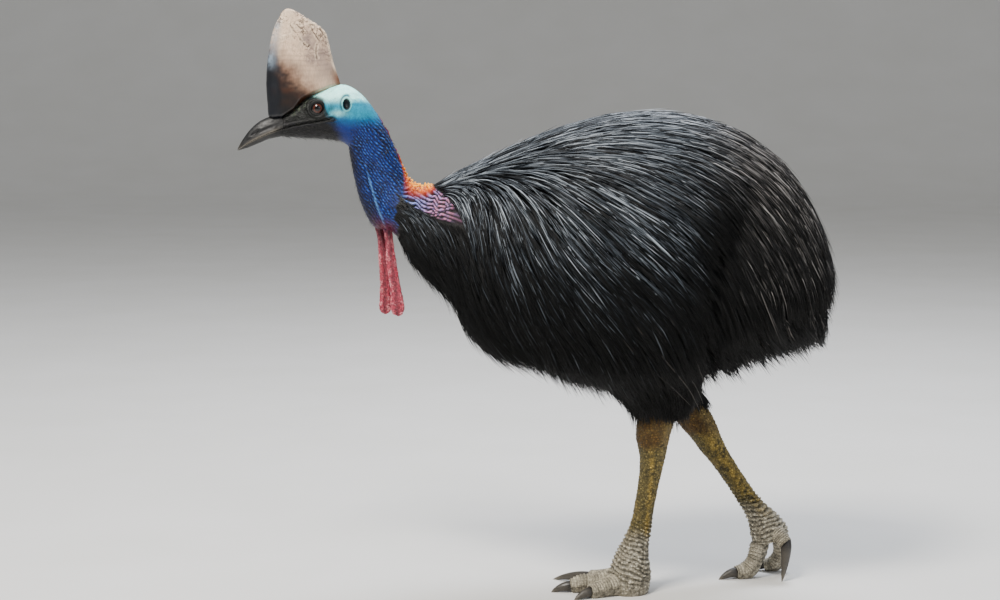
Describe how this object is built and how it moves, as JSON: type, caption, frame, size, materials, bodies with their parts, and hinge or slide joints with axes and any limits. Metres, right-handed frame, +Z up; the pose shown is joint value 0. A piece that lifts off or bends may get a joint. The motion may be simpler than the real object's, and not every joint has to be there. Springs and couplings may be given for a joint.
{
  "type": "cassowary",
  "caption": "Life-size southern cassowary standing in a walking step: black plumage, blue neck, red wattles, tall casque.",
  "frame": {"origin": "centre of the bounding box in plan, at floor level", "axes": "-X the way the bird looks, +Y its right side, +Z up"},
  "size_m": [1.1296, 0.435, 1.109],
  "materials": {
    "plumage": "glossy black hair-like feathers",
    "neck_skin": "matt wrinkled bare skin",
    "head_skin": "matt bare skin",
    "wattle_skin": "matt grainy bare skin",
    "casque_horn": "satin worn horn",
    "bill_horn": "satin horn",
    "leg_scales": "matt small scales",
    "claw_horn": "satin horn",
    "eye": "wet gloss",
    "quill_horn": "satin horn"
  },
  "bodies": {
    "root": {"bill_lower": "bill_horn", "bill_upper": "bill_horn", "casque": "casque_horn", "claw_left_inner": "claw_horn", "claw_left_middle": "claw_horn", "claw_left_outer": "claw_horn", "claw_right_inner": "claw_horn", "claw_right_middle": "claw_horn", "claw_right_outer": "claw_horn", "eye_left": "eye", "eye_right": "eye", "head": "head_skin", "neck": "neck_skin", "shank_left": "leg_scales", "shank_right": "leg_scales", "tail": "plumage", "thigh_left": "plumage", "thigh_right": "plumage", "toe_left_inner": "leg_scales", "toe_left_middle": "leg_scales", "toe_left_outer": "leg_scales", "toe_right_inner": "leg_scales", "toe_right_middle": "leg_scales", "toe_right_outer": "leg_scales", "torso": "plumage", "wattle_left": "wattle_skin", "wattle_right": "wattle_skin", "wing_left": "quill_horn", "wing_right": "quill_horn"}
  },
  "joints": []
}
